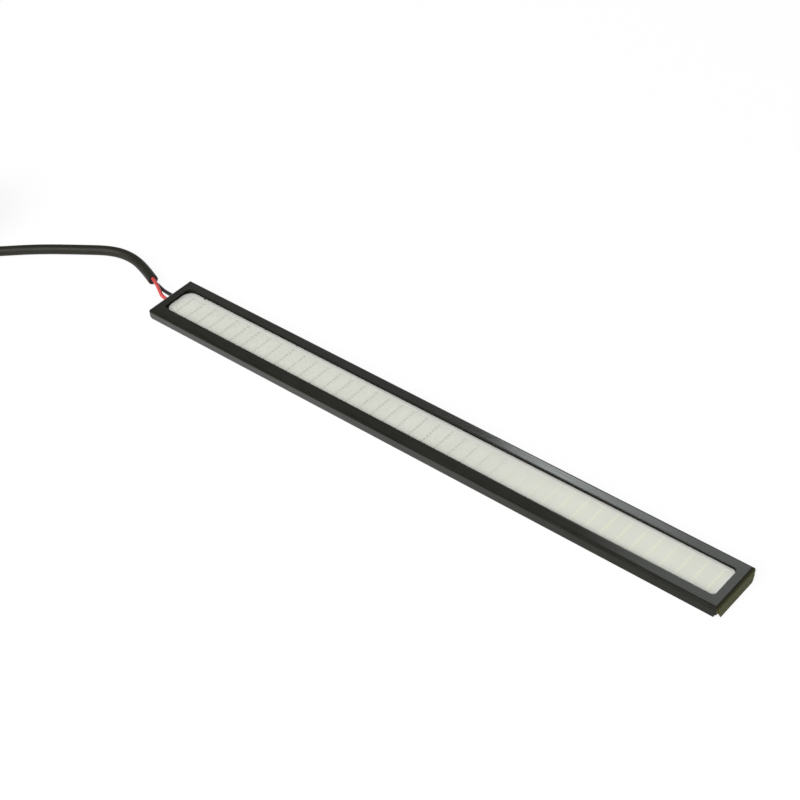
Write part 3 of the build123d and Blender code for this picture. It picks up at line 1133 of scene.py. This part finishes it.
        out, side, up = np.concatenate([strap.reshape(-1, 3), head.reshape(-1, 3)]).T
        turned = radians(self.tie_angle)
        points = np.stack([self.coil_middle[0] + out * cos(turned) - side * sin(turned),
                           self.coil_middle[1] + out * sin(turned) + side * cos(turned), up], axis=1)
        faces = np.concatenate([grid_faces(*strap.shape[:2], True, True),
                                grid_faces(*head.shape[:2], False, True) + radial.size])
        made = add_object("tie_strap", points, faces.tolist())
        rework(made.data, self.pole_merge)
        return place(made, NYLON, "tie_black", "cable_tie")

    def strands(self, core: Core) -> Piece:
        """The bare end of a wire: one straight strand and others that wind round it.

        Each outer strand is a helix about the wire's last direction, a strand's width from the middle.

        Args:
            core: Which wire.

        Returns:
            The strands as one object.
        """
        last, end = (np.array(point) for point in self.tails[core][-2:])
        ahead = (end - last) / np.linalg.norm(end - last)
        side = np.cross(ahead, [0.0, 0.0, 1.0])
        up = np.cross(side, ahead)
        share = np.linspace(0, 1, self.strand_points)
        middle = end + share[:, None] * self.strand_length * ahead
        thin = self.strand_diameter / 3
        start = np.arange(self.outer_strands) / self.outer_strands
        turn = (2 * pi * (start[:, None] + self.strand_turns * share))[..., None]
        outer = middle + thin * (np.cos(turn) * side + np.sin(turn) * up)
        name = f"{core.value}_tail_tip"
        lines = np.concatenate([middle[None], outer])
        tip = tube_object(f"{name}_strands", lines, thin / 2, self.strand_sides)
        return place(tip, TINNED, "tinned", name)

    def build(self, leads: list[Piece]) -> None:
        """Args:
            leads: The two leads, which are not used.
        """
        sheath = place(self.sheath(), SHEATH, "sheath_black", "cable_sheath", "cable_coil")
        self.tie()
        for core, route in self.tails.items():
            name = f"{core.value}_tail"
            wire = spline(f"{name}_wire", route, self.wire_diameter)
            tail = place(wire, SKIN[core], f"wire_{core.value}", name)
            self.strands(core)


@dataclass
class Backing:
    """Foam tape and its liner on the back, which keep their solid shape."""

    finishes: dict[str, Finish] = field(default_factory=lambda: {"mounting_tape": FOAM, "tape_liner": LINER})

    def build(self) -> None:
        """Dresses both."""
        dress(self.finishes)


@dataclass
class AreaLamp:
    """A soft lamp that faces a point."""

    name: str
    place: Triple
    aim: Triple
    size: Pair
    power: float
    colour: Triple = (1.0, 1.0, 1.0)

    def build(self) -> None:
        """Adds the lamp to the scene."""
        data = bpy.data.lights.new(self.name, "AREA")
        data.shape = "RECTANGLE"
        data.size, data.size_y = self.size
        data.energy = self.power
        data.color = self.colour
        lamp = bpy.data.objects.new(self.name, data)
        lamp.location = self.place
        lamp.rotation_euler = (Vector(self.aim) - Vector(self.place)).to_track_quat("-Z", "Y").to_euler()
        bpy.context.scene.collection.objects.link(lamp)


@dataclass
class BackPanel:
    """A pale cool lamp in a plane behind the object, where its rims mirror it into the camera.

    The plane is square to a direction that is turned from Y and raised, both in degrees. It lies at a
    distance from the origin, and no two panels share one. The panel spans a range along the plane's level
    direction and one along its other direction. Its brightness is its radiance, in watts per square metre
    and steradian.
    """

    name: str
    distance: float
    across: Pair
    upwards: Pair
    brightness: float
    turned: float = 34.0
    raised: float = 42.0
    colour: Triple = (0.94, 1.0, 0.99)

    def build(self) -> None:
        """Adds the panel, which faces along the plane's normal."""
        turn, height = radians(self.turned), radians(self.raised)
        away = Vector((-sin(turn) * cos(height), cos(turn) * cos(height), sin(height)))
        level = Vector((cos(turn), sin(turn), 0.0))
        aim = level * (sum(self.across) / 2) + level.cross(away) * (sum(self.upwards) / 2)
        size = (self.across[1] - self.across[0], self.upwards[1] - self.upwards[0])
        power = self.brightness * pi * size[0] * size[1]
        AreaLamp(self.name, tuple(aim + away * self.distance), tuple(aim), size, power, self.colour).build()


@dataclass
class Studio:
    """White floor, soft lamps, a pale horizon and the camera of the photograph."""

    floor_half: float = 12.0
    floor_drop: float = 0.1 * MM
    floor_colour: Triple = (0.90, 0.90, 0.90)
    floor_glow: float = 0.90
    floor_white: float = 1.02
    sky_heights: Pair = (0.08, 0.35)
    sky_levels: Pair = (0.9, 0.16)
    camera_place: Triple = (0.20957, -0.22733, 0.28368)
    camera_ahead: Triple = (-0.51752, 0.54384, -0.66062)
    camera_right: Triple = (0.76137, 0.64501, -0.06546)
    camera_clip: Pair = (0.01, 100.0)
    focal_length: float = 80.68
    lamps: list[AreaLamp | BackPanel] = field(default_factory=lambda: [
        AreaLamp("front_key", (-0.10, -0.98, 0.92), (0.0, 0.0, 0.0), (1.3, 1.0), 23.8),
        BackPanel("wide_panel", 0.82, (0.003, 0.280), (-0.110, 0.260), 1.3),
        BackPanel("middle_panel", 0.81, (0.000, 0.115), (-0.110, 0.020), 1.6),
        BackPanel("bright_panel", 0.80, (0.000, 0.055), (-0.110, 0.020), 2.1),
        BackPanel("faint_panel", 0.79, (-0.300, -0.025), (-0.170, -0.030), 0.16),
    ])

    def build(self) -> None:
        """Sets the stage and the camera."""
        scene = bpy.context.scene
        scene.view_settings.view_transform = "Standard"
        self.floor()
        self.sky(scene)
        for lamp in self.lamps:
            lamp.build()
        self.camera(scene)

    def floor(self) -> None:
        """A wide pale floor that glows where it is seen, so that only a faint shadow stays.

        It is seen by a ray that comes from the camera, a reflection or glass.
        """
        corners = self.floor_half * np.array([[-1, -1, 0], [1, -1, 0], [1, 1, 0], [-1, 1, 0]])
        plane = add_object("floor", corners - np.array([0, 0, self.floor_drop]), [[0, 1, 2, 3]])
        material = bpy.data.materials.new("pale_floor")
        material.use_nodes = True
        nodes = Nodes(material.node_tree)
        nodes.tree.nodes.clear()
        rays = nodes.node("ShaderNodeLightPath").outputs
        seen = nodes.math("MAXIMUM", rays["Is Camera Ray"], rays["Is Glossy Ray"])
        seen = nodes.math("MAXIMUM", seen, rays["Is Transmission Ray"])
        share = nodes.math("MULTIPLY", seen, self.floor_glow)
        paint = nodes.node("ShaderNodeBsdfDiffuse", (*self.floor_colour, 1.0)).outputs[0]
        glow = nodes.node("ShaderNodeEmission", WHITE, self.floor_white).outputs[0]
        mixed = nodes.node("ShaderNodeMixShader", share, paint, glow).outputs[0]
        nodes.node("ShaderNodeOutputMaterial", mixed)
        plane.data.materials.append(material)

    def sky(self, scene: bpy.types.Scene) -> None:
        """A room that is pale at the horizon and dim above.

        Args:
            scene: The scene, which gets it as its world.
        """
        world = bpy.data.worlds.new("studio_room")
        world.use_nodes = True
        nodes = Nodes(world.node_tree)
        direction = nodes.node("ShaderNodeTexCoord").outputs["Generated"]
        height = nodes.node("ShaderNodeSeparateXYZ", direction).outputs["Z"]
        level = nodes.node("ShaderNodeMapRange", height, *self.sky_heights, *self.sky_levels)
        level.interpolation_type = "SMOOTHSTEP"
        background = nodes.tree.nodes["Background"]
        background.inputs["Color"].default_value = WHITE
        nodes.tree.links.new(level.outputs[0], background.inputs["Strength"])
        scene.world = world

    def camera(self, scene: bpy.types.Scene) -> None:
        """The camera, from its place, the way it looks and the way that is right in its picture.

        Args:
            scene: The scene, which gets it as its camera.
        """
        data = bpy.data.cameras.new("camera")
        data.lens = self.focal_length
        data.clip_start, data.clip_end = self.camera_clip
        ahead = Vector(self.camera_ahead).normalized()
        up = Vector(self.camera_right).cross(ahead).normalized()
        turned = Matrix((ahead.cross(up), up, -ahead)).transposed().to_4x4()
        made = bpy.data.objects.new("camera", data)
        made.matrix_world = Matrix.Translation(self.camera_place) @ turned
        scene.collection.objects.link(made)
        scene.camera = made


def main() -> None:
    """Builds the lamp, its cable and the studio."""
    logging.basicConfig(level=logging.INFO, format="%(name)s: %(message)s")
    Bezel().build()
    LightStrip().build()
    Backing().build()
    Cable().build(Leads().build())
    Studio().build()


if __name__ == "__main__":
    main()
